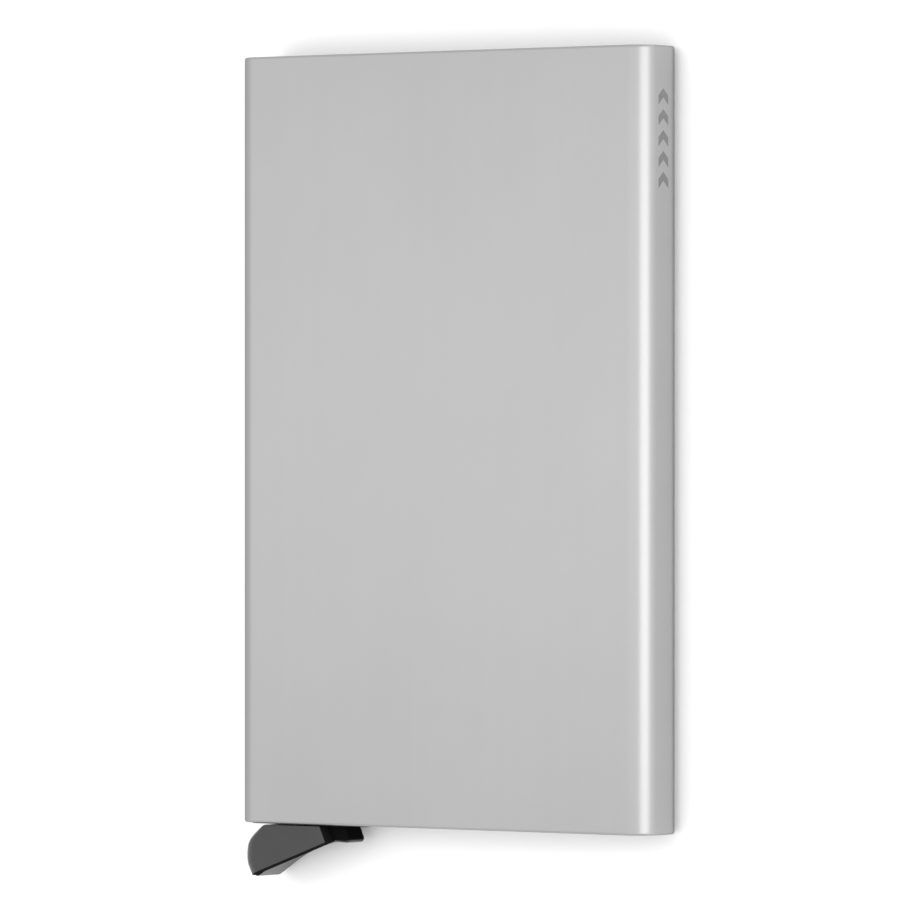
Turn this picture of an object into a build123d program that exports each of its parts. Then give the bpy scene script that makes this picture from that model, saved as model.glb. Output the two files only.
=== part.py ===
"""A slim metal card holder with a thumb lever that fans the cards out of its mouth.

The holder lies on its back face. Z runs through its thickness, Y runs from the lever to the
mouth, X runs across it. The origin is on the back face, below the middle of the whole object.
"""

from build123d import *
import os

# Driving dimensions, in millimetres and degrees -------------------------------------------
BODY_W = 63.0  # housing, across
BODY_T = 8.0  # housing, through
BODY_L = 95.5  # housing, end to mouth
LEVER_DROP = 6.8  # how far the lever's tip stands out below the housing
CORNER_R = 2.5  # outer corners of the extruded section
WALL = 1.0  # extruded wall
EDGE_BREAK = 0.3  # broken edges of both sawn ends

CARD_BED = 9.3  # from the housing's lower end up to the cards' lower edge
CAP_RECESS = 0.3  # the end cap sits this far inside the housing
CAP_FLOOR = 1.1
CHEEK_T = 0.6  # plates of the end cap each side of the hub
CHEEK_R = 3.0
CORE_WALL = 1.0  # walls left round the end cap's cored blocks
SLOT_T = 3.6  # slot in the floor, through
SLOT_GAP = 0.45  # left between the neck and both ends of the slot
GUARD_RISE = 0.12  # how far the cap stands out below the housing, round the slot
GUARD_MARGIN = 0.8  # of that guard past the slot's right end

PIVOT_X = -15.0
PIVOT_RISE = 4.2  # of the pivot above the housing's lower end
PIN_R = 1.0
PIN_END_GAP = 0.05
PIN_CHAMFER = 0.15
RUNNING_FIT = 0.05  # radial
HUB_R = 2.6
HUB_GAP = 0.1  # between the hub and each cheek
WASHER_R = 2.0
WASHER_T = 0.36
WASHER_SEAT = 0.3
SWING = 40.0  # how far the lever turns

FINGERS = 6  # one step of the lever for each card
LONGEST_FINGER = 40.0
FINGER_STEP = 5.5
FINGER_TIP_H = 4.0
FINGER_NOSE_R = 1.6
FINGER_START = 1.0  # of the fingers' flat top, to the right of the pivot
CARD_GAP = 0.2  # between the fingers and the cards at rest
FLOOR_GAP = 0.4  # between the fingers' root and the end cap's floor

NECK_T = 3.2  # the lever where it passes through the slot
PADDLE_T = 6.6  # the lever below the housing, thumb plate included
PLATE_T = 1.7  # thumb plate
PADDLE_GAP = 0.25  # between the paddle and the housing
TIP_R = 0.5
TIP_LEAN = 25.0  # of the paddle's outer edge from Y, at its tip
TIP_TURN = 60.0  # from the tip's right side down to where its underside starts
PLATE_ROUND = 1.2  # outer front edge of the thumb plate
BACK_ROUND = 0.8  # back edge of the paddle

STRIP_GAP = 54.6  # free width for a 53.98 mm card
PILE_T = 1.3
PILE_W = 5.4
PILE_EDGE_R = 0.4
MOUTH_MARGIN = 2.0  # the strips end this far inside the mouth

# Derived places ---------------------------------------------------------------------------
MOUTH_Y = (BODY_L + LEVER_DROP) / 2
END_Y = MOUTH_Y - BODY_L
TIP_Y = END_Y - LEVER_DROP
MID_Z = BODY_T / 2
INNER_W = BODY_W - 2 * WALL
INNER_T = BODY_T - 2 * WALL
INNER_R = CORNER_R - WALL
BED_Y = END_Y + CARD_BED
CAP_Y = END_Y + CAP_RECESS
FLOOR_Y = CAP_Y + CAP_FLOOR
PIVOT = Vector(PIVOT_X, END_Y + PIVOT_RISE)
CHANNEL_T = INNER_T - 2 * CHEEK_T  # free space between the cheeks
HUB_T = CHANNEL_T - 2 * HUB_GAP
HUB_BACK = MID_Z - HUB_T / 2
PADDLE_BACK = MID_Z - PADDLE_T / 2
PADDLE_TOP = END_Y - PADDLE_GAP
PLATE_BACK = PADDLE_BACK + PADDLE_T - PLATE_T
ROOM_LEFT = -20.5  # the lever's room inside the end cap
ROOM_RIGHT = 26.2

# The neck, seen from the front: its edges where they leave the housing and lower down
NECK_LEFT_TOP = Vector(-18.9, PADDLE_TOP)
NECK_LEFT_LOW = Vector(-18.0, END_Y - 2.2)
NECK_RIGHT_TOP = Vector(-16.3, PADDLE_TOP)
NECK_HEEL = Vector(-15.4, END_Y - 2.3)
NECK_INNER_LEFT = NECK_LEFT_TOP + Vector(0.35, 1.0)
NECK_KINK = NECK_RIGHT_TOP + (NECK_RIGHT_TOP - NECK_HEEL) * 0.3
NECK_INNER_RIGHT = NECK_RIGHT_TOP + Vector(0.5, 1.4)
NECK_HEEL_R = 0.5
NECK_EDGE_R = 0.4  # front edges of the neck round its heel
SLOT_LEFT = NECK_LEFT_TOP.X - SLOT_GAP
SLOT_RIGHT = (PIVOT + (NECK_RIGHT_TOP - PIVOT).rotate(Axis.Z, SWING)).X + SLOT_GAP
GUARD_W = INNER_W / 2 + SLOT_RIGHT + GUARD_MARGIN


def section(y):
    """The plane across the holder at y, centred in its thickness, facing the mouth."""
    return Plane(origin=(0, y, MID_Z), x_dir=(1, 0, 0), z_dir=(0, 1, 0))


def save(part, name):
    """Label a finished piece and write it under its own name."""
    part.label = name
    export_step(part, f"parts/{name}.step")


os.makedirs("parts", exist_ok=True)

# Housing: a rounded rectangular extrusion, open at both ends ------------------------------
with BuildPart() as housing:
    with BuildSketch(section(END_Y)):
        RectangleRounded(BODY_W, BODY_T, CORNER_R)
        RectangleRounded(INNER_W, INNER_T, INNER_R, mode=Mode.SUBTRACT)
    extrude(amount=BODY_L)
    chamfer(housing.faces().filter_by(Axis.Y).edges(), EDGE_BREAK)
save(housing.part, "housing")

# End cap: floor with the lever's slot and its guard, card ledges, cheeks for the pin ------
ledges = ((-INNER_W / 2, ROOM_LEFT, 2), (ROOM_RIGHT, INNER_W / 2, 1))  # left, right, cores

with BuildPart() as end_cap:
    with BuildSketch(section(CAP_Y)):
        RectangleRounded(INNER_W, INNER_T, INNER_R)
    extrude(amount=BED_Y - CAP_Y)
    with BuildSketch(section(END_Y - GUARD_RISE)):
        RectangleRounded(INNER_W, INNER_T, INNER_R)
        with Locations(((GUARD_W - INNER_W) / 2, 0)):
            Rectangle(GUARD_W, INNER_T, mode=Mode.INTERSECT)
    extrude(amount=CAP_Y - END_Y + GUARD_RISE)
    with BuildSketch(Plane.XY):
        with Locations(((ROOM_LEFT + ROOM_RIGHT) / 2, (FLOOR_Y + BED_Y) / 2)):
            Rectangle(ROOM_RIGHT - ROOM_LEFT, BED_Y - FLOOR_Y)
    extrude(amount=BODY_T, mode=Mode.SUBTRACT)
    for cheek_z in (WALL, BODY_T - WALL - CHEEK_T):
        with BuildSketch(Plane.XY.offset(cheek_z)):
            with Locations(PIVOT):
                Circle(CHEEK_R)
            with BuildLine():
                Polyline(
                    (ROOM_LEFT, CAP_Y),
                    (PIVOT.X + CHEEK_R, CAP_Y),
                    (PIVOT.X + CHEEK_R, PIVOT.Y),
                    (ROOM_LEFT, PIVOT.Y),
                    close=True,
                )
            make_face()
        extrude(amount=CHEEK_T)
    with BuildSketch(section(FLOOR_Y)):
        with Locations(((SLOT_LEFT + SLOT_RIGHT) / 2, 0)):
            Rectangle(SLOT_RIGHT - SLOT_LEFT, SLOT_T)
    extrude(amount=END_Y - GUARD_RISE - FLOOR_Y, mode=Mode.SUBTRACT)
    with BuildSketch(Plane.XY):
        with Locations(PIVOT):
            Circle(PIN_R)
    extrude(amount=BODY_T, mode=Mode.SUBTRACT)
    for left, right, cores in ledges:
        core_w = (right - left - CORE_WALL) / cores - CORE_WALL
        for core in range(cores):
            core_x = left + CORE_WALL + core_w / 2 + core * (core_w + CORE_WALL)
            with BuildSketch(section(FLOOR_Y)):
                with Locations((core_x, 0)):
                    Rectangle(core_w, INNER_T - 2 * CORE_WALL)
            extrude(amount=BED_Y - FLOOR_Y, mode=Mode.SUBTRACT)
save(end_cap.part, "end_cap")

# Pivot pin: pressed into both cheeks, and kept in by the housing's walls ------------------
with BuildPart() as pivot_pin:
    with BuildSketch(Plane.XY.offset(WALL + PIN_END_GAP)):
        with Locations(PIVOT):
            Circle(PIN_R)
    extrude(amount=INNER_T - 2 * PIN_END_GAP)
    chamfer(pivot_pin.edges().filter_by(GeomType.CIRCLE), PIN_CHAMFER)
save(pivot_pin.part, "pivot_pin")

# The paddle's outline, seen from the front ------------------------------------------------
tip_centre = Vector(-30.1, TIP_Y + TIP_R)
tip_left = tip_centre + Vector(-TIP_R, 0).rotate(Axis.Z, TIP_LEAN)
tip_right = tip_centre + Vector(TIP_R, 0).rotate(Axis.Z, -TIP_TURN)
plate_tip = Vector(-30.35, END_Y - 6.7)

outer_top = Vector(-27.6, PADDLE_TOP)
outer_bends = (
    (-29.0, END_Y - 0.9),
    (-30.1, END_Y - 1.8),
    (-31.15, END_Y - 3.2),
    (-31.3, END_Y - 4.4),
)
outer_directions = (Vector(-1, -0.15), Vector(0, -1).rotate(Axis.Z, TIP_LEAN))

under_bends = (
    (-28.3, END_Y - 5.75),
    (-26.3, END_Y - 4.5),
    (-23.6, END_Y - 3.25),
    (-20.6, END_Y - 2.45),
)
under_directions = (Vector(1, 0.55), Vector(1, 0.05))


def outer_edge(end):
    """The paddle's rounded outer edge, from under the housing down to an end."""
    Line(NECK_LEFT_TOP, outer_top)
    Spline(outer_top, *outer_bends, end, tangents=outer_directions)


# The lever's neck, from the hub down to the paddle, with a rounded heel -------------------
with BuildPart() as neck:
    with BuildSketch(Plane.XY.offset(MID_Z - NECK_T / 2)) as neck_face:
        with BuildLine():
            Polyline(
                (PIVOT.X - HUB_R, PIVOT.Y),
                NECK_INNER_LEFT,
                NECK_LEFT_TOP,
                NECK_LEFT_LOW,
                NECK_HEEL,
                NECK_KINK,
                NECK_INNER_RIGHT,
                (PIVOT.X + HUB_R, PIVOT.Y),
                close=True,
            )
        make_face()
        fillet(neck_face.vertices().sort_by_distance(NECK_HEEL)[0], NECK_HEEL_R)
    extrude(amount=NECK_T)
    front_edges = neck.faces().sort_by(Axis.Z)[-1].edges()
    heel = Vector(NECK_HEEL.X, NECK_HEEL.Y, MID_Z + NECK_T / 2)
    fillet(front_edges.sort_by_distance(heel)[:3], NECK_EDGE_R)

# Lever arm: fingers under the cards, hub, neck through the slot, and the paddle -----------
with BuildPart() as lever_arm:
    with BuildSketch(Plane.XY.offset(PADDLE_BACK)):
        with BuildLine():
            outer_edge(tip_left)
            ThreePointArc(tip_left, tip_centre - Vector(0, TIP_R), tip_right)
            Spline(tip_right, *under_bends, NECK_LEFT_LOW, tangents=under_directions)
            Line(NECK_LEFT_LOW, NECK_LEFT_TOP)
        make_face()
    extrude(amount=PADDLE_T - PLATE_T)
    back_face = lever_arm.faces().sort_by(Axis.Z)[0]
    fillet(back_face.edges().sort_by(Axis.X)[:-1], BACK_ROUND)
    add(neck.part)
    with BuildSketch(Plane.XY.offset(HUB_BACK)):
        with Locations(PIVOT):
            Circle(HUB_R)
    extrude(amount=HUB_T)
    root_bottom = FLOOR_Y + FLOOR_GAP
    finger_rise = BED_Y - CARD_GAP - FINGER_TIP_H - root_bottom
    for finger in range(FINGERS):
        reach = LONGEST_FINGER - finger * FINGER_STEP
        tip_x = PIVOT.X + reach
        tip_bottom = root_bottom + finger_rise * reach / LONGEST_FINGER
        with BuildSketch(Plane.XY.offset(HUB_BACK + finger * HUB_T / FINGERS)) as finger_face:
            with BuildLine():
                Polyline(
                    (PIVOT.X, root_bottom),
                    (tip_x, tip_bottom),
                    (tip_x, BED_Y - CARD_GAP),
                    (PIVOT.X + FINGER_START, BED_Y - CARD_GAP),
                    (PIVOT.X - HUB_R, PIVOT.Y),
                    close=True,
                )
            make_face()
            fillet(finger_face.vertices().group_by(Axis.X)[-1], FINGER_NOSE_R)
        extrude(amount=HUB_T / FINGERS)
    with BuildSketch(Plane.XY):
        with Locations(PIVOT):
            Circle(PIN_R + RUNNING_FIT)
    extrude(amount=BODY_T, mode=Mode.SUBTRACT)
    for seat_z in (HUB_BACK, HUB_BACK + HUB_T - WASHER_SEAT):
        with BuildSketch(Plane.XY.offset(seat_z)):
            with Locations(PIVOT):
                Circle(WASHER_R + RUNNING_FIT)
        extrude(amount=WASHER_SEAT, mode=Mode.SUBTRACT)
save(lever_arm.part, "lever_arm")

# Friction washers: they sit in the hub's two seats and rub on the cheeks ------------------
washer_places = {
    "friction_washer_back": HUB_BACK + WASHER_SEAT - WASHER_T,
    "friction_washer_front": HUB_BACK + HUB_T - WASHER_SEAT,
}
for washer_name, washer_z in washer_places.items():
    with BuildPart() as washer:
        with BuildSketch(Plane.XY.offset(washer_z)):
            with Locations(PIVOT):
                Circle(WASHER_R)
                Circle(PIN_R + RUNNING_FIT, mode=Mode.SUBTRACT)
        extrude(amount=WASHER_T)
    save(washer.part, washer_name)

# Thumb plate: the matte front of the paddle, with a straight lower edge -------------------
with BuildPart() as thumb_plate:
    with BuildSketch(Plane.XY.offset(PLATE_BACK)):
        with BuildLine():
            outer_edge(plate_tip)
            Polyline(plate_tip, NECK_LEFT_LOW, NECK_LEFT_TOP)
        make_face()
    extrude(amount=PLATE_T)
    front_face = thumb_plate.faces().sort_by(Axis.Z)[-1]
    fillet(front_face.edges().sort_by(Axis.X)[0], PLATE_ROUND)
save(thumb_plate.part, "thumb_plate")

# Friction strips down both sides: foam against the housing, pile against the cards --------
strip_l = MOUTH_Y - MOUTH_MARGIN - BED_Y
foam_in = STRIP_GAP / 2 + PILE_T
foam_t = INNER_W / 2 - foam_in

for side_name, side in (("left", -1), ("right", 1)):
    with BuildPart() as foam_strip:
        with BuildSketch(section(BED_Y)):
            RectangleRounded(INNER_W, INNER_T, INNER_R)
            with Locations((side * (foam_in + foam_t / 2), 0)):
                Rectangle(foam_t, INNER_T, mode=Mode.INTERSECT)
        extrude(amount=strip_l)
    save(foam_strip.part, f"foam_strip_{side_name}")

    with BuildPart() as pile_tape:
        with BuildSketch(section(BED_Y)):
            with Locations((side * (foam_in - PILE_T / 2), 0)):
                Rectangle(PILE_T, PILE_W)
        extrude(amount=strip_l)
        card_edges = pile_tape.edges().filter_by(Axis.Y).sort_by(Axis.X)
        fillet(card_edges[-2:] if side < 0 else card_edges[:2], PILE_EDGE_R)
    save(pile_tape.part, f"pile_tape_{side_name}")
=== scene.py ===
"""A slim aluminium card holder with a dark thumb lever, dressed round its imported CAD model."""

import math
import random
from itertools import product

import bmesh
import bpy
from mathutils import Matrix, Vector, noise


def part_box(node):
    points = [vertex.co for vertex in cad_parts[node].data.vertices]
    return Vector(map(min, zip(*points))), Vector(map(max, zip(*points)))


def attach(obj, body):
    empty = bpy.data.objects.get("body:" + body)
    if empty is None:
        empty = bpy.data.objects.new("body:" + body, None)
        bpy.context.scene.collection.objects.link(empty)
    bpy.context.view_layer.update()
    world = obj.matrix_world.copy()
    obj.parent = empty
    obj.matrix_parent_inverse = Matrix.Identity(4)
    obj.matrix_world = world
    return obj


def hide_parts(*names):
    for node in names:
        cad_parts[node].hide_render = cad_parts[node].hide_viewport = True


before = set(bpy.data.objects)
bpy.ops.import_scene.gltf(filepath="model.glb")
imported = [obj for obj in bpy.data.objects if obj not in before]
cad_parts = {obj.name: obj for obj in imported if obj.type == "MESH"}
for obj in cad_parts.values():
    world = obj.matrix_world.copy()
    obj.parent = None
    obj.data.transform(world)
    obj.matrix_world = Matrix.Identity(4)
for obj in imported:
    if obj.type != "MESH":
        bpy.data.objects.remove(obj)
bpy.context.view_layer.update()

MM = 0.001

# Places taken from the frame --------------------------------------------------------------
body_low, body_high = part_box("housing")
cap_low, cap_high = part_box("end_cap")
plate_low, plate_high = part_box("thumb_plate")
MID_Z = (body_low.z + body_high.z) / 2
WALL = cap_low.z - body_low.z
INNER_HALF_T = (cap_high.z - cap_low.z) / 2

# Shape of the housing ---------------------------------------------------------------------
CORNER_R = 2.5 * MM
EDGE_R = 0.3 * MM  # of both sawn ends
CORNER_STEPS = 24
EDGE_STEPS = 5
WELD = 0.0001 * MM  # points nearer than this are one

# Printed chevrons on the narrow side, near the mouth --------------------------------------
MARK_COUNT = 5
MARK_FROM_MOUTH = 5.2 * MM
MARK_LENGTH = 12.1 * MM
MARK_HALF_W = 1.0 * MM
MARK_RISE = 0.9 * MM  # of a chevron's point
MARK_BAND = 1.1 * MM
MARK_INK = 0.004 * MM

# Thumb plate ------------------------------------------------------------------------------
PLATE_ROUND = 2.4 * MM  # how far the rounding of the outer edge reaches in
PLATE_EDGE = 0.12 * MM
ROUND_FADE = 1.5  # how fast the rounding fades where the edge turns from facing left
ROUND_STEPS = 12
FLAT_STEPS = 6
BEVEL_ANGLE = math.radians(40)  # sharper edges than this get a bevel
NECK_UNDERSIDE = -0.35  # faces of the neck that look down more than this stay polished

# Foam and pile ----------------------------------------------------------------------------
FOAM_STATION = 0.5 * MM
FOAM_CELL = 0.35 * MM
FOAM_ROUGH = 0.12 * MM
FOAM_END_RINGS = (0.3, 0.65)  # scales of the rings that close each sawn end
FOAM_ROUND_STEPS = 6
TAPE_BACKING = 0.25 * MM
TUFT_PITCH = 0.36 * MM
TUFT_R = 0.12 * MM
TUFT_LEAN = 0.8  # of the pitch, at most
TUFT_SHORTEST = 0.84  # of the longest tuft

# Camera and light -------------------------------------------------------------------------
CAMERA_TURN = math.radians(37.27)  # to the right of the front face's normal
CAMERA_DISTANCE = 1.07
CAMERA_ABOVE_END = 48.87 * MM  # above the housing's lower end
CAMERA_LENS = 339.1  # mm, on a 36 mm sensor
AIM_FROM_CAMERA_LEVEL = Vector((-1.57, -3.593, 1.2)) * MM
SURROUND = 1.05  # radiance of the even surround
FLOOR_HALF = 1.5
FLOOR_GAP = 0.1 * MM  # so that the floor and the back face don't share a plane


# Meshes -----------------------------------------------------------------------------------
def new_piece(name, vertices, faces, materials, body, material_of=None):
    """A mesh object that rides on a body; material_of gives each face's material."""
    mesh = bpy.data.meshes.new(name)
    mesh.from_pydata([tuple(v) for v in vertices], [], faces)
    for material in materials:
        mesh.materials.append(material)
    if material_of:
        for face, index in zip(mesh.polygons, material_of):
            face.material_index = index
    piece = bpy.data.objects.new(name, mesh)
    bpy.context.scene.collection.objects.link(piece)
    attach(piece, body)
    return piece


def turn_outward(piece, weld=0.0):
    """Outward normals, after points nearer than weld are joined."""
    bm = bmesh.new()
    bm.from_mesh(piece.data)
    if weld:
        bmesh.ops.remove_doubles(bm, verts=bm.verts, dist=weld)
    bmesh.ops.recalc_face_normals(bm, faces=bm.faces)
    bm.to_mesh(piece.data)
    bm.free()


def finish_mesh(piece, edge=0.0, weld=0.0):
    """Outward normals, smooth shading, an optional small bevel and face-weighted normals."""
    turn_outward(piece, weld)
    for face in piece.data.polygons:
        face.use_smooth = True
    if edge:
        bevel = piece.modifiers.new("edges", "BEVEL")
        bevel.width = edge
        bevel.segments = 3
        bevel.limit_method = "ANGLE"
        bevel.angle_limit = BEVEL_ANGLE
    weighted = piece.modifiers.new("weighted_normal", "WEIGHTED_NORMAL")
    weighted.mode = "FACE_AREA"
    weighted.weight = 90


def grid_faces(rows, columns, closed=False):
    """Quads between rows of points, each row closed on itself or open."""
    faces = []
    for row in range(rows - 1):
        for column in range(columns if closed else columns - 1):
            after = (column + 1) % columns
            low, high = row * columns, (row + 1) * columns
            faces.append((low + column, low + after, high + after, high + column))
    return faces


def rounded_section(half_w, half_t, radius, steps):
    """Points (x, z) round a rounded rectangle about the origin."""
    points = []
    for corner, (sx, sz) in enumerate(((1, 1), (-1, 1), (-1, -1), (1, -1))):
        for step in range(steps + 1):
            angle = math.pi / 2 * (corner + step / steps)
            x = sx * (half_w - radius) + radius * math.cos(angle)
            z = sz * (half_t - radius) + radius * math.sin(angle)
            points.append((x, z))
    return points


def wall_profile(y0, y1, wall, edge_r, steps):
    """Closed loop of (y, inset): up along the outside of a tube's wall and down the inside."""
    inner = wall - edge_r
    low, high = y0 + edge_r, y1 - edge_r
    centres = ((high, edge_r), (high, inner), (low, inner), (low, edge_r))
    loop = []
    for quarter, (y, inset) in enumerate(centres):
        for step in range(steps + 1):
            angle = math.pi / 2 * (quarter + step / steps - 1)
            loop.append((y + edge_r * math.cos(angle), inset + edge_r * math.sin(angle)))
    return loop


def make_housing(material):
    """The extruded tube: one wall profile swept round a rounded rectangle."""
    half_w = (body_high.x - body_low.x) / 2
    half_t = (body_high.z - body_low.z) / 2
    centre_x = (body_high.x + body_low.x) / 2
    profile = wall_profile(body_low.y, body_high.y, WALL, EDGE_R, EDGE_STEPS)
    vertices = []
    for y, inset in profile + profile[:1]:
        section = rounded_section(half_w - inset, half_t - inset, CORNER_R - inset, CORNER_STEPS)
        vertices += [(centre_x + x, y, MID_Z + z) for x, z in section]
    faces = grid_faces(len(profile) + 1, len(section), closed=True)
    piece = new_piece("housing_shell", vertices, faces, [material], "body")
    finish_mesh(piece, weld=WELD)
    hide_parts("housing")


def make_side_mark(material):
    """A plain row of chevrons that points to the mouth, printed on the narrow side."""
    pitch = (MARK_LENGTH - MARK_RISE - MARK_BAND) / (MARK_COUNT - 1)
    outline = (
        (-MARK_HALF_W, 0),
        (0, MARK_RISE),
        (MARK_HALF_W, 0),
        (MARK_HALF_W, MARK_BAND),
        (0, MARK_RISE + MARK_BAND),
        (-MARK_HALF_W, MARK_BAND),
    )
    count = len(outline)
    vertices = []
    faces = []
    for chevron in range(MARK_COUNT):
        start = len(vertices)
        base = body_high.y - MARK_FROM_MOUTH - MARK_LENGTH + chevron * pitch
        for x in (body_high.x - MARK_INK, body_high.x + MARK_INK):
            vertices += [(x, base + y, MID_Z + z) for z, y in outline]
        for back in (start, start + count):
            faces.append(tuple(back + k for k in (0, 1, 4, 5)))
            faces.append(tuple(back + k for k in (1, 2, 3, 4)))
        for k in range(count):
            after = (k + 1) % count
            faces.append((start + k, start + after, start + count + after, start + count + k))
    piece = new_piece("side_mark", vertices, faces, [material], "body")
    turn_outward(piece)


def plate_outline():
    """The thumb plate's outline, from its top inner corner round the outer edge and back."""
    back = set()
    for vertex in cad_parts["thumb_plate"].data.vertices:
        if vertex.co.z < plate_low.z + 0.01 * MM:
            back.add((round(vertex.co.x, 7), round(vertex.co.y, 7)))
    middle = [sum(p[axis] for p in back) / len(back) for axis in (0, 1)]
    start = max(back, key=sum)

    def turn(point):
        angle = math.atan2(point[1] - middle[1], point[0] - middle[0])
        return (angle - math.atan2(start[1] - middle[1], start[0] - middle[0])) % math.tau

    return [Vector(p) for p in sorted(back, key=turn)]


def make_thumb_plate(face_material, shaded_edge_material):
    """Strips from the outer edge to the inner one, rounded where the outer edge looks left."""
    top_corner, *outer, low_corner = plate_outline()
    columns = ROUND_STEPS + FLAT_STEPS + 1
    thickness = plate_high.z - plate_low.z
    vertices = []
    for i, point in enumerate(outer):
        before, after = outer[max(i - 1, 0)], outer[min(i + 1, len(outer) - 1)]
        along = (after - before).normalized()
        looks_left = max(0.0, -along.y) ** ROUND_FADE
        reach = PLATE_EDGE + (PLATE_ROUND - PLATE_EDGE) * looks_left
        drop = PLATE_EDGE + (thickness - 2 * PLATE_EDGE) * looks_left
        inner = top_corner.lerp(low_corner, i / (len(outer) - 1))
        across = (inner - point).normalized()
        width = (inner - point).length
        for column in range(columns):
            if column <= ROUND_STEPS:
                angle = math.pi / 2 * column / ROUND_STEPS
                inset = reach * (1 - math.cos(angle))
                z = plate_high.z - drop * (1 - math.sin(angle))
            else:
                inset = reach + (width - reach) * (column - ROUND_STEPS) / FLAT_STEPS
                z = plate_high.z
            place = point + across * inset
            vertices.append((place.x, place.y, z))
    rows = len(outer)
    faces = grid_faces(rows, columns)
    material_of = [0] * len(faces)
    rim = list(range(columns))
    rim += [row * columns + columns - 1 for row in range(1, rows)]
    rim += [(rows - 1) * columns + column for column in range(columns - 2, -1, -1)]
    rim += [row * columns for row in range(rows - 2, 0, -1)]
    first_back = len(vertices)
    vertices += [(vertices[k][0], vertices[k][1], plate_low.z) for k in rim]
    for k in range(len(rim)):
        after = (k + 1) % len(rim)
        faces.append((rim[k], rim[after], first_back + after, first_back + k))
    faces.append(tuple(range(first_back, first_back + len(rim))))
    # The walls and back take the edge plastic, a darker copy of the plate plastic without
    # reflection: painted shade along the plate's edge.
    material_of += [1] * (len(rim) + 1)
    materials = [face_material, shaded_edge_material]
    piece = new_piece("thumb_plate_moulded", vertices, faces, materials, "lever", material_of)
    finish_mesh(piece, PLATE_EDGE)
    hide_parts("thumb_plate")


def make_lever(polished, dull_and_shaded):
    """The lever's own shape, polished, but matt on its neck, apart from the neck's underside; the
    matt neck is darkened without reflection as painted shade.
    """
    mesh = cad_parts["lever_arm"].data.copy()
    mesh.materials.clear()
    mesh.materials.append(polished)
    mesh.materials.append(dull_and_shaded)
    # Neck faces other than the underside get the shaded copy: matt, dark and without reflection, as
    # painted shade.
    for face in mesh.polygons:
        on_neck = face.center.x > plate_high.x and face.center.y < body_low.y
        face.material_index = int(on_neck and face.normal.y > NECK_UNDERSIDE)
    piece = bpy.data.objects.new("lever_moulded", mesh)
    bpy.context.scene.collection.objects.link(piece)
    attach(piece, "lever")
    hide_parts("lever_arm")


def make_foam(side_name, material):
    """A sawn foam strip: its section drawn along Y, with cut cells over its whole skin."""
    node = f"foam_strip_{side_name}"
    low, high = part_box(node)
    side = 1 if side_name == "right" else -1
    section = []
    for x, z in rounded_section(high.x - low.x, INNER_HALF_T, CORNER_R - WALL, FOAM_ROUND_STEPS):
        section.append((max(x, 0.0), z))
    outline = []
    for k, (x0, z0) in enumerate(section):
        x1, z1 = section[(k + 1) % len(section)]
        parts = max(1, round(math.hypot(x1 - x0, z1 - z0) / FOAM_STATION))
        for part in range(parts):
            outline.append((x0 + (x1 - x0) * part / parts, z0 + (z1 - z0) * part / parts))
    inner_x = low.x if side > 0 else high.x
    middle = Vector((inner_x + side * (high.x - low.x) / 2, MID_Z))
    stations = round((high.y - low.y) / FOAM_STATION)
    rings = [(low.y, scale) for scale in FOAM_END_RINGS]
    rings += [(low.y + (high.y - low.y) * k / stations, 1.0) for k in range(stations + 1)]
    rings += [(high.y, scale) for scale in reversed(FOAM_END_RINGS)]
    vertices = []
    for y, scale in rings:
        for x, z in outline:
            point = middle.lerp(Vector((inner_x + side * x, MID_Z + z)), scale)
            place = Vector((point.x, y, point.y))
            sunk = FOAM_ROUGH * (0.5 + 0.5 * noise.noise(place / FOAM_CELL))
            inward = Vector((middle.x - point.x, 0, middle.y - point.y)).normalized()
            if y in (low.y, high.y):
                inward += Vector((0, 1 if y == low.y else -1, 0))
            vertices.append(place + inward * sunk)
    faces = grid_faces(len(rings), len(outline), closed=True)
    last = len(rings) - 1
    faces.append(tuple(range(len(outline))))
    faces.append(tuple(range(last * len(outline), (last + 1) * len(outline))))
    piece = new_piece(f"foam_cut_{side_name}", vertices, faces, [material], "body")
    finish_mesh(piece)
    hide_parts(node)


def make_pile(side_name, backing_material, pile_material):
    """A woven tape with rows of short leaning tufts that brush the cards' edges."""
    node = f"pile_tape_{side_name}"
    low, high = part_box(node)
    side = 1 if side_name == "right" else -1
    outer_x, tip_x = (high.x, low.x) if side > 0 else (low.x, high.x)
    backing_x = outer_x - side * TAPE_BACKING
    vertices = list(product((outer_x, backing_x), (low.y, high.y), (low.z, high.z)))
    faces = [(0, 1, 3, 2), (4, 6, 7, 5), (0, 4, 5, 1), (2, 3, 7, 6), (0, 2, 6, 4), (1, 5, 7, 3)]
    material_of = [0] * len(faces)
    chance = random.Random(side + 7)
    rows = int((high.y - low.y - 2 * TUFT_R) / TUFT_PITCH)
    columns = int((high.z - low.z - 2 * TUFT_R) / TUFT_PITCH)
    length = abs(tip_x - backing_x)
    root_x = backing_x + side * TAPE_BACKING / 2
    for row in range(rows + 1):
        for column in range(columns + 1):
            y = low.y + TUFT_R + row * (high.y - low.y - 2 * TUFT_R) / rows
            z = low.z + TUFT_R + column * (high.z - low.z - 2 * TUFT_R) / columns
            tip_y = y + chance.uniform(-1, 1) * TUFT_PITCH * TUFT_LEAN
            tip_z = z + chance.uniform(-1, 1) * TUFT_PITCH * TUFT_LEAN
            tip_y = min(max(tip_y, low.y), high.y)
            tip_z = min(max(tip_z, low.z), high.z)
            reach = length * chance.uniform(TUFT_SHORTEST, 1.0)
            start = len(vertices)
            for corner in range(4):
                angle = math.tau * (corner + 0.5) / 4
                vertices.append((root_x, y + TUFT_R * math.cos(angle), z + TUFT_R * math.sin(angle)))
            vertices.append((backing_x - side * reach, tip_y, tip_z))
            faces += [(start + k, start + (k + 1) % 4, start + 4) for k in range(4)]
            faces.append(tuple(start + k for k in range(4)))
            material_of += [1] * 5
    materials = [backing_material, pile_material]
    piece = new_piece(f"pile_woven_{side_name}", vertices, faces, materials, "body", material_of)
    turn_outward(piece)
    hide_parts(node)


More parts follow.
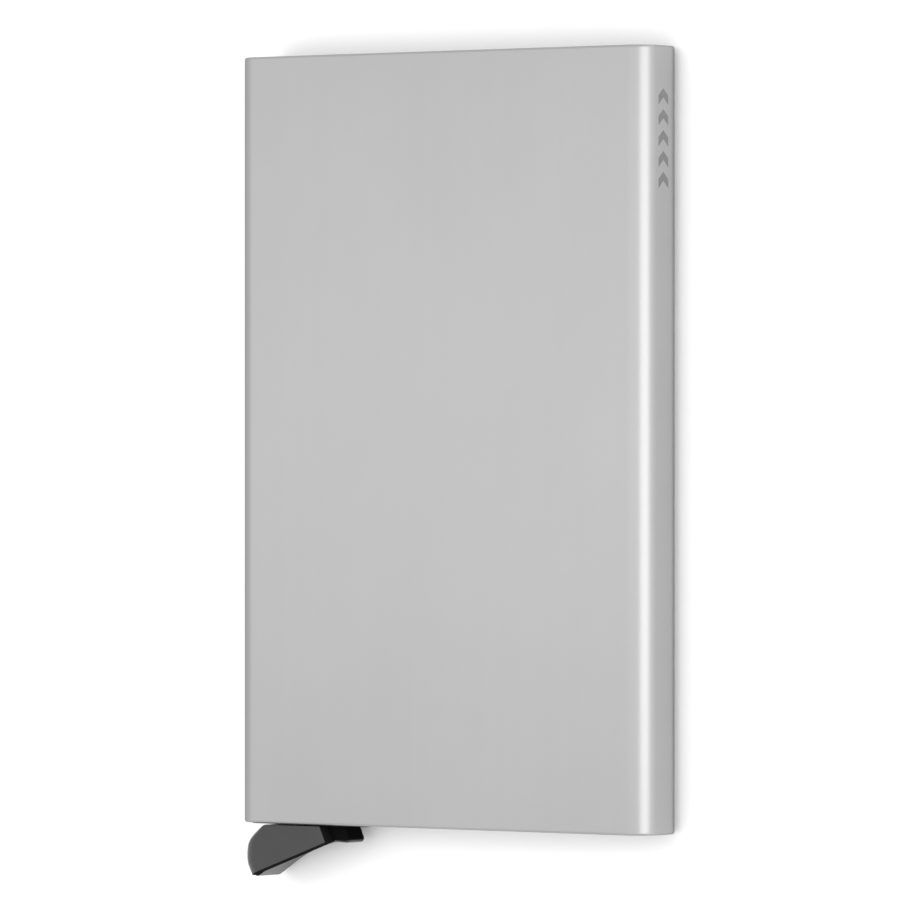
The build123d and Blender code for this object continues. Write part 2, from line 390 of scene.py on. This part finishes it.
# Materials --------------------------------------------------------------------------------
class Nodes:
    """A material's node tree, built by short calls."""

    def __init__(self, name):
        self.material = bpy.data.materials.new(name)
        self.material.use_nodes = True
        self.tree = self.material.node_tree
        self.shader = self.tree.nodes["Principled BSDF"]
        self.coordinates = self.tree.nodes.new("ShaderNodeTexCoord").outputs["Object"]

    def set(self, **sockets):
        """Constant values on the shader's own sockets."""
        for name, value in sockets.items():
            self.shader.inputs[name.replace("_", " ")].default_value = value

    def stretched(self, scale):
        """The object's coordinates, scaled along each axis."""
        mapping = self.tree.nodes.new("ShaderNodeMapping")
        mapping.inputs["Scale"].default_value = scale
        self.tree.links.new(self.coordinates, mapping.inputs["Vector"])
        return mapping.outputs["Vector"]

    def noise(self, size, detail=2.0, roughness=0.5, vector=None):
        """Noise whose features measure about size metres."""
        node = self.tree.nodes.new("ShaderNodeTexNoise")
        node.inputs["Scale"].default_value = 1 / size
        node.inputs["Detail"].default_value = detail
        node.inputs["Roughness"].default_value = roughness
        self.tree.links.new(vector or self.coordinates, node.inputs["Vector"])
        return node.outputs["Fac"]

    def cells(self, size):
        """Distance to the nearest cell centre, for cells of about size metres."""
        node = self.tree.nodes.new("ShaderNodeTexVoronoi")
        node.inputs["Scale"].default_value = 1 / size
        self.tree.links.new(self.coordinates, node.inputs["Vector"])
        return node.outputs["Distance"]

    def mapped(self, value, low, high, from_low=0.3, from_high=0.7):
        """value stretched from one range to another."""
        node = self.tree.nodes.new("ShaderNodeMapRange")
        node.inputs["From Min"].default_value = from_low
        node.inputs["From Max"].default_value = from_high
        node.inputs["To Min"].default_value = low
        node.inputs["To Max"].default_value = high
        self.tree.links.new(value, node.inputs["Value"])
        return node.outputs["Result"]

    def mixed(self, factor, low, high):
        """A grey between two, by factor."""
        node = self.tree.nodes.new("ShaderNodeMix")
        node.data_type = "RGBA"
        node.inputs["A"].default_value = (low, low, low, 1)
        node.inputs["B"].default_value = (high, high, high, 1)
        self.tree.links.new(factor, node.inputs["Factor"])
        return node.outputs["Result"]

    def added(self, first, second, share=1.0):
        """first + share * second."""
        node = self.tree.nodes.new("ShaderNodeMath")
        node.operation = "MULTIPLY_ADD"
        node.inputs[1].default_value = share
        self.tree.links.new(second, node.inputs[0])
        self.tree.links.new(first, node.inputs[2])
        return node.outputs["Value"]

    def feed(self, socket, output):
        """Links an output to one of the shader's sockets."""
        self.tree.links.new(output, self.shader.inputs[socket])

    def bump(self, height, depth):
        """Bump of depth metres between height 0 and 1."""
        node = self.tree.nodes.new("ShaderNodeBump")
        node.inputs["Distance"].default_value = depth
        node.inputs["Strength"].default_value = 1.0
        self.tree.links.new(height, node.inputs["Height"])
        self.feed("Normal", node.outputs["Normal"])


def anodised_aluminium():
    """Bead-blasted, clear anodised aluminium with faint die lines along the extrusion."""
    m = Nodes("anodised_aluminium")
    m.set(Metallic=1.0, Specular_Tint=(0.42, 0.42, 0.42, 1))
    blast = m.noise(0.14 * MM, detail=3.0, roughness=0.6)
    cloud = m.noise(14 * MM, detail=2.0)
    die_lines = m.noise(1.6 * MM, detail=2.0, vector=m.stretched((1, 0.015, 1)))
    tone = m.added(cloud, die_lines, 0.35)
    m.feed("Base Color", m.mixed(m.mapped(tone, 0, 1, 0.4, 0.95), 0.395, 0.415))
    m.feed("Roughness", m.mapped(m.added(blast, cloud, 0.4), 0.36, 0.42, 0.4, 1.0))
    m.bump(m.added(blast, die_lines, 0.15), 0.004 * MM)
    return m.material


def moulded_plastic(name, colour, roughness, grain, depth, specular=0.5, sheen=0.0):
    """Injection-moulded plastic with a spark-eroded grain, paler at grazing angles by sheen."""
    m = Nodes(name)
    m.set(Specular_IOR_Level=specular, Sheen_Weight=sheen, Sheen_Roughness=0.3)
    spark = m.noise(grain, detail=3.0, roughness=0.65)
    cloud = m.noise(5 * MM)
    m.feed("Base Color", m.mixed(m.mapped(cloud, 0, 1), colour * 0.9, colour * 1.1))
    m.feed("Roughness", m.mapped(spark, roughness - 0.04, roughness + 0.04))
    m.bump(spark, depth)
    return m.material


def ground_steel():
    """Centreless-ground steel of the pin."""
    m = Nodes("pin_steel")
    m.set(Metallic=1.0)
    rings = m.noise(0.05 * MM, detail=2.0, vector=m.stretched((0.2, 0.2, 1)))
    m.feed("Base Color", m.mixed(m.mapped(rings, 0, 1), 0.5, 0.58))
    m.feed("Roughness", m.mapped(rings, 0.18, 0.3))
    m.bump(rings, 0.002 * MM)
    return m.material


def printed_ink():
    """Matt dark grey ink with a slightly uneven cover."""
    m = Nodes("print_ink")
    m.set(Specular_IOR_Level=0.3)
    cover = m.noise(0.2 * MM, detail=3.0)
    m.feed("Base Color", m.mixed(m.mapped(cover, 0, 1), 0.15, 0.19))
    m.feed("Roughness", m.mapped(cover, 0.6, 0.75))
    m.bump(cover, 0.002 * MM)
    return m.material


def sawn_foam():
    """Charcoal closed-cell foam, with painted shade darkening the pits of its cut cells."""
    m = Nodes("foam")
    m.set(Specular_IOR_Level=0.2)
    cells = m.cells(FOAM_CELL)
    fine = m.noise(0.1 * MM, detail=3.0)
    # Painted shade: darkest at the cells' centres, which the bump sinks into pits.
    m.feed("Base Color", m.mixed(m.mapped(cells, 0, 1, 0.1, 0.6), 0.012, 0.05))
    m.feed("Roughness", m.mapped(fine, 0.85, 0.98))
    m.bump(m.added(cells, fine, 0.3), 0.08 * MM)
    return m.material


def woven_backing():
    """The tape's woven ground, its threads drawn out across the tape."""
    m = Nodes("tape_backing")
    threads = m.noise(0.3 * MM, detail=1.0, vector=m.stretched((1, 1, 0.2)))
    m.set(Roughness=0.8)
    m.feed("Base Color", m.mixed(m.mapped(threads, 0, 1), 0.02, 0.045))
    m.bump(threads, 0.05 * MM)
    return m.material


def nylon_pile():
    """Dull black nylon fibres, each tuft a little different."""
    m = Nodes("pile")
    m.set(Sheen_Weight=0.4, Sheen_Roughness=0.4, Specular_IOR_Level=0.3)
    tufts = m.noise(0.4 * MM, detail=2.0)
    m.feed("Base Color", m.mixed(m.mapped(tufts, 0, 1), 0.012, 0.04))
    m.feed("Roughness", m.mapped(tufts, 0.55, 0.75))
    m.bump(m.noise(0.05 * MM), 0.01 * MM)
    return m.material


# The scene --------------------------------------------------------------------------------
def make_camera():
    """A long lens, level with the middle of the housing, its +Y side up."""
    data = bpy.data.cameras.new("camera")
    data.lens = CAMERA_LENS
    data.sensor_width = 36
    camera = bpy.data.objects.new("camera", data)
    bpy.context.scene.collection.objects.link(camera)
    level = Vector((0, body_low.y + CAMERA_ABOVE_END, 0))
    out = Vector((math.sin(CAMERA_TURN), 0, math.cos(CAMERA_TURN)))
    camera.location = level + out * CAMERA_DISTANCE
    back = (camera.location - level - AIM_FROM_CAMERA_LEVEL).normalized()
    right = Vector((0, 1, 0)).cross(back).normalized()
    turn = Matrix((right, back.cross(right), back)).transposed()
    camera.rotation_mode = "QUATERNION"
    camera.rotation_quaternion = turn.to_quaternion()
    bpy.context.scene.camera = camera


def make_light(name, direction, distance, size, radiance, mirrored=True):
    """A soft box that faces the holder from a direction (x, y, z), seen in gloss or not."""
    data = bpy.data.lights.new(name, "AREA")
    data.shape = "RECTANGLE"
    data.size, data.size_y = size
    data.energy = radiance * math.pi * size[0] * size[1]
    light = bpy.data.objects.new(name, data)
    bpy.context.scene.collection.objects.link(light)
    away = Vector(direction).normalized()
    light.location = away * distance
    light.rotation_mode = "QUATERNION"
    light.rotation_quaternion = away.to_track_quat("Z", "Y")
    light.visible_camera = False
    light.visible_glossy = mirrored


def make_stage():
    """A white floor just below the back face, an even pale surround and soft boxes."""
    corners = ((-1, -1), (1, -1), (1, 1), (-1, 1))
    level = body_low.z - FLOOR_GAP
    mesh = bpy.data.meshes.new("floor")
    points = [(FLOOR_HALF * x, FLOOR_HALF * y, level) for x, y in corners]
    mesh.from_pydata(points, [], [(0, 1, 2, 3)])
    paper = Nodes("floor_paper")
    paper.set(Roughness=0.9, Base_Color=(0.95, 0.95, 0.95, 1))
    mesh.materials.append(paper.material)
    floor = bpy.data.objects.new("floor", mesh)
    bpy.context.scene.collection.objects.link(floor)
    world = bpy.data.worlds.new("surround")
    world.use_nodes = True
    background = world.node_tree.nodes["Background"]
    background.inputs["Color"].default_value = (1, 1, 1, 1)
    background.inputs["Strength"].default_value = SURROUND
    bpy.context.scene.world = world
    make_light("corner_strip", (0.958, 0, 0.287), 0.6, (0.24, 0.7), 2.3)
    make_light("front_box", (0, 0.03, 1), 0.3, (0.7, 0.12), 0.7)
    make_light("overhead", (0, 0, 1), 1.0, (0.8, 0.8), 0.8, mirrored=False)
    bpy.context.scene.view_settings.view_transform = "Standard"


make_camera()
make_stage()

make_housing(anodised_aluminium())
make_side_mark(printed_ink())
# The plate's edge plastic: matt, and darker with no reflection as painted shade along the edge line.
plate_edge_shaded = moulded_plastic("plate_edge_shaded", 0.012, 0.6, 0.12 * MM, 0.004 * MM, 0.0)
plate_face = moulded_plastic("plate_plastic", 0.028, 0.38, 0.12 * MM, 0.006 * MM, sheen=0.25)
make_thumb_plate(plate_face, plate_edge_shaded)
lever_gloss = moulded_plastic("lever_plastic", 0.003, 0.2, 0.2 * MM, 0.002 * MM)
# The neck's plastic: matt, and without reflection as painted shade.
make_lever(lever_gloss, moulded_plastic("lever_dull_and_shaded", 0.006, 0.7, 0.2 * MM, 0.004 * MM, 0.0))
foam = sawn_foam()
backing = woven_backing()
pile = nylon_pile()
for side_name in ("left", "right"):
    make_foam(side_name, foam)
    make_pile(side_name, backing, pile)

# CAD nodes that stay as they are get a material each
nylon = moulded_plastic("nylon", 0.7, 0.4, 0.2 * MM, 0.002 * MM)
for node, material in (
    ("end_cap", moulded_plastic("cap_plastic", 0.012, 0.45, 0.12 * MM, 0.006 * MM)),
    ("pivot_pin", ground_steel()),
    ("friction_washer_back", nylon),
    ("friction_washer_front", nylon),
):
    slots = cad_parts[node].data.materials
    slots.clear()
    slots.append(material)
